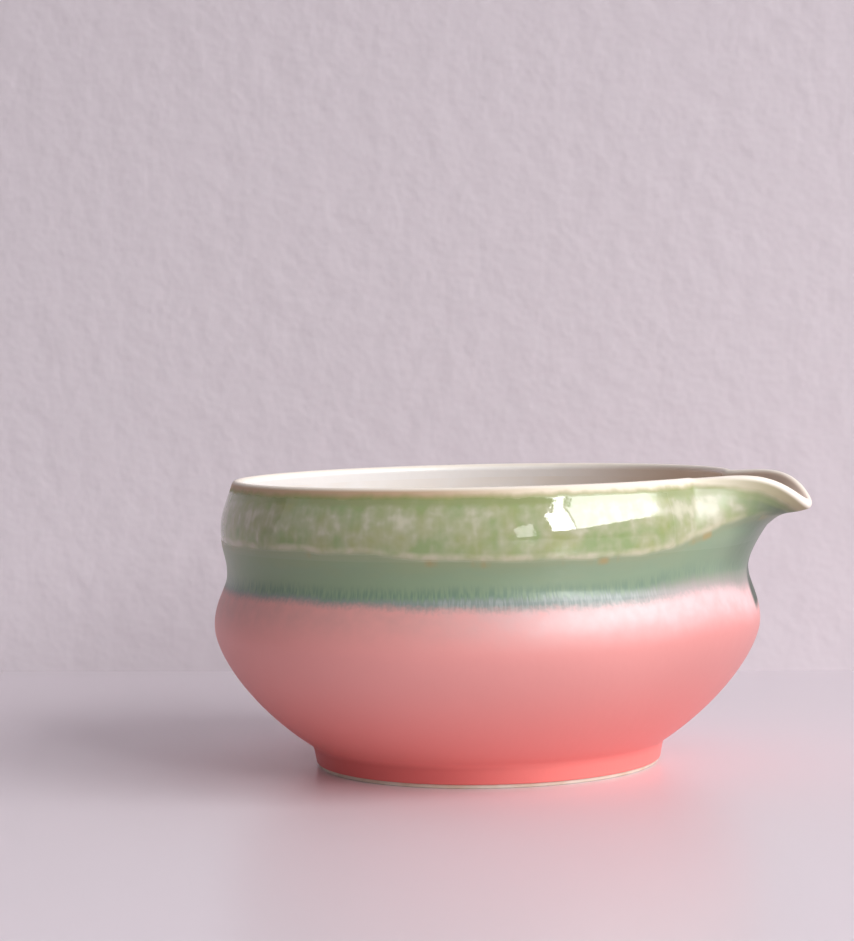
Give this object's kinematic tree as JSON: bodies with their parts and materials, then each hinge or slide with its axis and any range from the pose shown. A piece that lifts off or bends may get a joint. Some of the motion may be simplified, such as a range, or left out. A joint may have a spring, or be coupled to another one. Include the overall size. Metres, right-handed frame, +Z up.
{
  "type": "spouted tea bowl",
  "caption": "Round glazed porcelain tea bowl with a waisted wall, a pulled pouring spout and a low foot ring, glazed in layered bands.",
  "frame": {"origin": "on the surface the bowl stands on, under the middle of its bounding box; the bowl's own round axis stands 7.08 mm towards -X from it", "axes": "+Z up out of the bowl's mouth, +X along the pouring spout, +Y to the left of a person who looks along the spout from the bowl"},
  "size_m": [0.1422, 0.128, 0.0682],
  "materials": {
    "clay": "bare fired porcelain, matte",
    "pink_glaze": "satin coral pink, nearly matte",
    "sea_green_glaze": "satin grey-green with a streaked, bluish-white lower edge",
    "mottled_green_glaze": "glossy yellow-green mottled with cream, amber spots along its lower edge",
    "rim_glaze": "glossy cream, thin over the lip",
    "liner_glaze": "glossy warm white"
  },
  "bodies": {
    "root": {"bowl_body": "clay", "foot_ring": "clay", "foot_well_glaze": "pink_glaze", "pink_glaze": "pink_glaze", "sea_green_glaze": "sea_green_glaze", "mottled_green_glaze": "mottled_green_glaze", "rim_glaze": "rim_glaze", "liner_glaze": "liner_glaze"}
  },
  "joints": []
}
